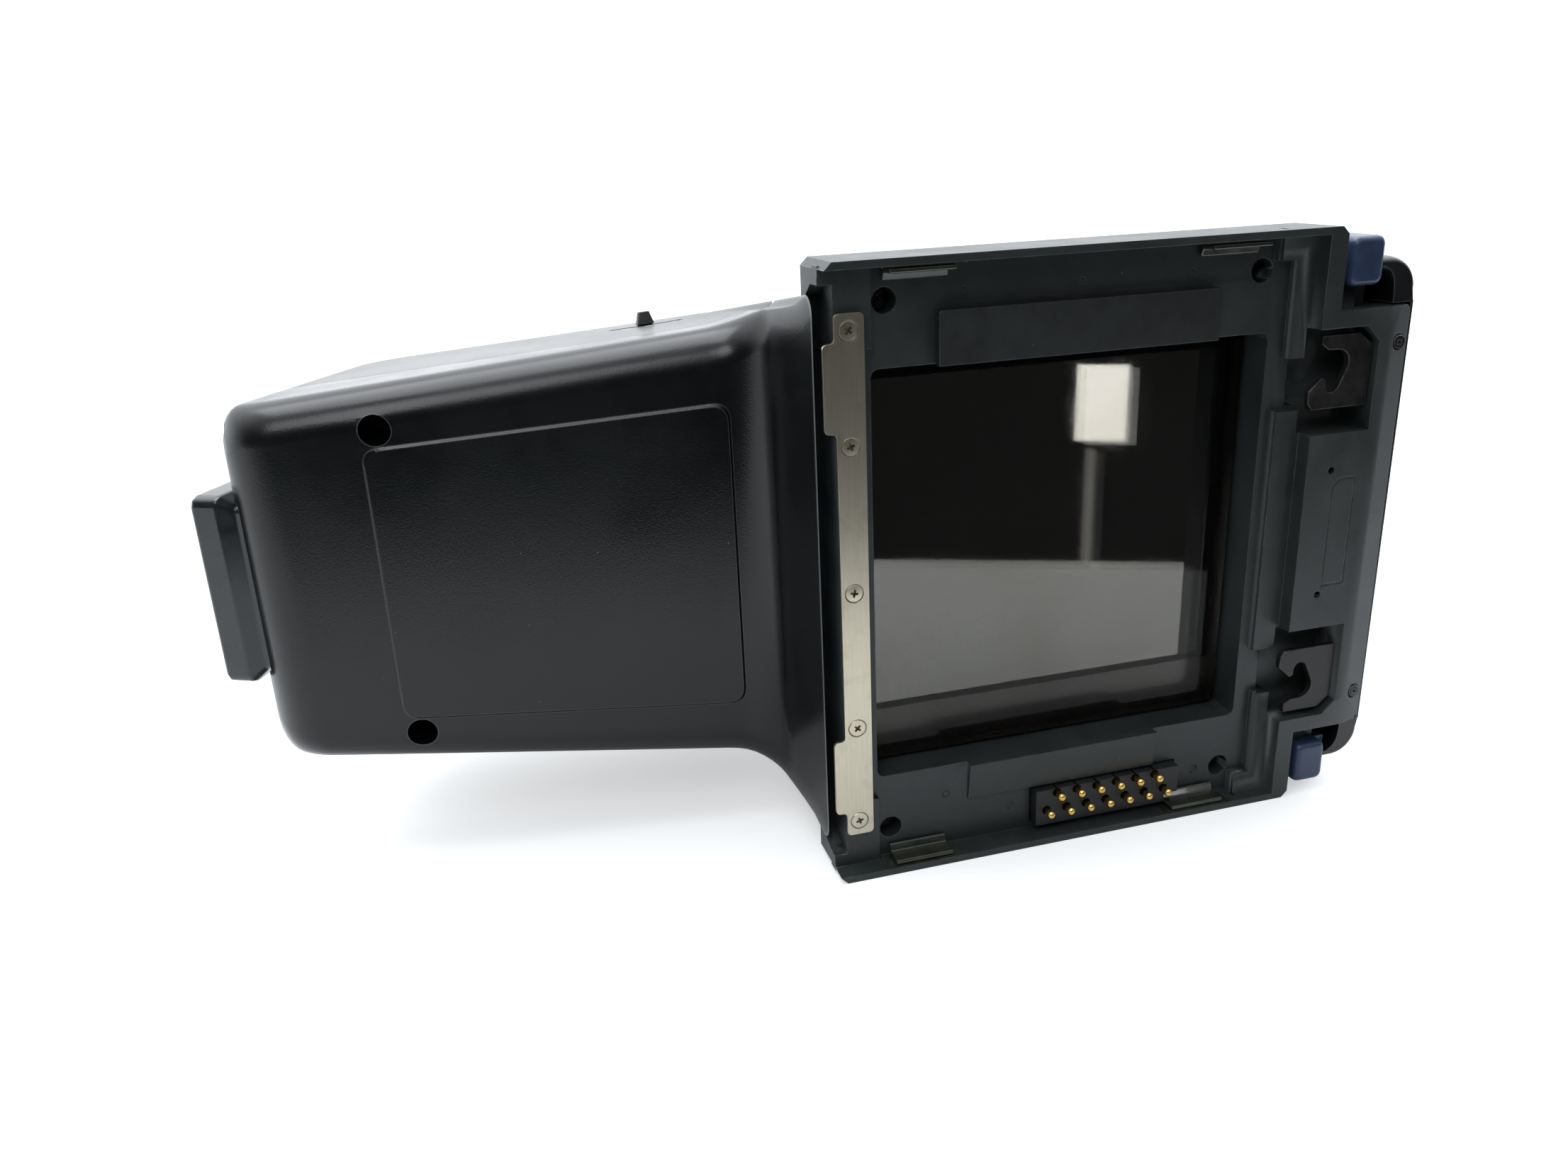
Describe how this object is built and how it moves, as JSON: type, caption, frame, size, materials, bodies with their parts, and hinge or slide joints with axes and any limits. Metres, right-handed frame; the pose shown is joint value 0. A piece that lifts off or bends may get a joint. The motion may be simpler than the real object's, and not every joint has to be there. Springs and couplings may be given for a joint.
{
  "type": "camera prism viewfinder",
  "caption": "Metered prism viewfinder with a flat mount plate, square screen opening, sprung contact pins, twin squeeze release latches, sloping rear housing and a square eyepiece.",
  "frame": {"origin": "bottom centre of the bounding box, the finder lying on its left side", "axes": "+X to the front (release buttons), +Y from the mount face to the finder's top, +Z the finder's right side, upwards"},
  "size_m": [0.2028, 0.09, 0.104],
  "materials": {
    "black_painted_casting": "semi-matt black paint on die casting",
    "black_abs_semi_matt": "semi-matt black ABS",
    "black_gloss_plastic": "gloss black",
    "nickel_plated_steel": "satin nickel plate",
    "black_oxide_steel": "black oxide",
    "slate_blue_abs": "satin slate blue",
    "black_phenolic": "matt black",
    "gold_plated_brass": "gold plate",
    "olive_polyester_pad": "glossy olive film",
    "coated_optical_glass": "coated, polished",
    "green_circuit_board": "solder mask",
    "smoked_sensor_resin": "clear smoked resin"
  },
  "bodies": {
    "finder_body": {"base_plate": "black_painted_casting", "rear_locating_strip": "nickel_plated_steel", "strip_screw_1": "nickel_plated_steel", "strip_screw_2": "nickel_plated_steel", "strip_screw_3": "nickel_plated_steel", "strip_screw_4": "nickel_plated_steel", "strip_screw_5": "nickel_plated_steel", "rim_screw_1": "black_oxide_steel", "cover_screw_1": "black_oxide_steel", "rim_screw_2": "black_oxide_steel", "cover_screw_2": "black_oxide_steel", "base_screw_1": "black_oxide_steel", "base_screw_2": "black_oxide_steel", "base_screw_3": "black_oxide_steel", "base_screw_4": "black_oxide_steel", "top_cover": "black_abs_semi_matt", "underside_cover": "black_abs_semi_matt", "latch_spring_right": "nickel_plated_steel", "latch_spring_left": "nickel_plated_steel", "contact_block": "black_phenolic", "rail_pad_1": "olive_polyester_pad", "rail_pad_2": "olive_polyester_pad", "rail_pad_3": "olive_polyester_pad", "rail_pad_4": "olive_polyester_pad", "upper_light_shield": "black_abs_semi_matt", "field_lens": "coated_optical_glass", "roof_prism": "coated_optical_glass", "prism_clamp": "black_oxide_steel", "eyepiece_tube": "black_oxide_steel", "eyepiece_lens": "coated_optical_glass", "eyepiece_frame": "black_gloss_plastic", "eyepiece_glass": "coated_optical_glass", "meter_circuit_board": "green_circuit_board", "readout_display": "black_phenolic", "metering_cell": "smoked_sensor_resin"},
    "latch_right": {"release_button_right": "slate_blue_abs", "hook_plate_right": "black_oxide_steel"},
    "latch_left": {"release_button_left": "slate_blue_abs", "hook_plate_left": "black_oxide_steel"},
    "mode_switch": {"mode_switch_knob": "black_phenolic"},
    "pin_01": {"contact_pin_01": "gold_plated_brass"},
    "pin_02": {"contact_pin_02": "gold_plated_brass"},
    "pin_03": {"contact_pin_03": "gold_plated_brass"},
    "pin_04": {"contact_pin_04": "gold_plated_brass"},
    "pin_05": {"contact_pin_05": "gold_plated_brass"},
    "pin_06": {"contact_pin_06": "gold_plated_brass"},
    "pin_07": {"contact_pin_07": "gold_plated_brass"},
    "pin_08": {"contact_pin_08": "gold_plated_brass"},
    "pin_09": {"contact_pin_09": "gold_plated_brass"},
    "pin_10": {"contact_pin_10": "gold_plated_brass"},
    "pin_11": {"contact_pin_11": "gold_plated_brass"},
    "pin_12": {"contact_pin_12": "gold_plated_brass"},
    "pin_13": {"contact_pin_13": "gold_plated_brass"}
  },
  "joints": [
    {"name": "release_right_slide", "type": "slide", "parent": "finder_body", "child": "latch_right", "axis": [0, 0, -1], "range_m": [0, 0.0035], "stiffness_N_per_m": 450, "springref_m": -0.003, "deforming": ["latch_spring_right"]},
    {"name": "release_left_slide", "type": "slide", "parent": "finder_body", "child": "latch_left", "axis": [0, 0, 1], "range_m": [0, 0.0035], "stiffness_N_per_m": 450, "springref_m": -0.003, "deforming": ["latch_spring_left"]},
    {"name": "mode_switch_slide", "type": "slide", "parent": "finder_body", "child": "mode_switch", "axis": [0.9974, 0, 0.072], "range_m": [-0.0045, 0.0045]},
    {"name": "pin_01_slide", "type": "slide", "parent": "finder_body", "child": "pin_01", "axis": [0, 1, 0], "range_m": [0, 0.0012], "stiffness_N_per_m": 300, "springref_m": -0.0008},
    {"name": "pin_02_slide", "type": "slide", "parent": "finder_body", "child": "pin_02", "axis": [0, 1, 0], "range_m": [0, 0.0012], "stiffness_N_per_m": 300, "springref_m": -0.0008},
    {"name": "pin_03_slide", "type": "slide", "parent": "finder_body", "child": "pin_03", "axis": [0, 1, 0], "range_m": [0, 0.0012], "stiffness_N_per_m": 300, "springref_m": -0.0008},
    {"name": "pin_04_slide", "type": "slide", "parent": "finder_body", "child": "pin_04", "axis": [0, 1, 0], "range_m": [0, 0.0012], "stiffness_N_per_m": 300, "springref_m": -0.0008},
    {"name": "pin_05_slide", "type": "slide", "parent": "finder_body", "child": "pin_05", "axis": [0, 1, 0], "range_m": [0, 0.0012], "stiffness_N_per_m": 300, "springref_m": -0.0008},
    {"name": "pin_06_slide", "type": "slide", "parent": "finder_body", "child": "pin_06", "axis": [0, 1, 0], "range_m": [0, 0.0012], "stiffness_N_per_m": 300, "springref_m": -0.0008},
    {"name": "pin_07_slide", "type": "slide", "parent": "finder_body", "child": "pin_07", "axis": [0, 1, 0], "range_m": [0, 0.0012], "stiffness_N_per_m": 300, "springref_m": -0.0008},
    {"name": "pin_08_slide", "type": "slide", "parent": "finder_body", "child": "pin_08", "axis": [0, 1, 0], "range_m": [0, 0.0012], "stiffness_N_per_m": 300, "springref_m": -0.0008},
    {"name": "pin_09_slide", "type": "slide", "parent": "finder_body", "child": "pin_09", "axis": [0, 1, 0], "range_m": [0, 0.0012], "stiffness_N_per_m": 300, "springref_m": -0.0008},
    {"name": "pin_10_slide", "type": "slide", "parent": "finder_body", "child": "pin_10", "axis": [0, 1, 0], "range_m": [0, 0.0012], "stiffness_N_per_m": 300, "springref_m": -0.0008},
    {"name": "pin_11_slide", "type": "slide", "parent": "finder_body", "child": "pin_11", "axis": [0, 1, 0], "range_m": [0, 0.0012], "stiffness_N_per_m": 300, "springref_m": -0.0008},
    {"name": "pin_12_slide", "type": "slide", "parent": "finder_body", "child": "pin_12", "axis": [0, 1, 0], "range_m": [0, 0.0012], "stiffness_N_per_m": 300, "springref_m": -0.0008},
    {"name": "pin_13_slide", "type": "slide", "parent": "finder_body", "child": "pin_13", "axis": [0, 1, 0], "range_m": [0, 0.0012], "stiffness_N_per_m": 300, "springref_m": -0.0008}
  ]
}
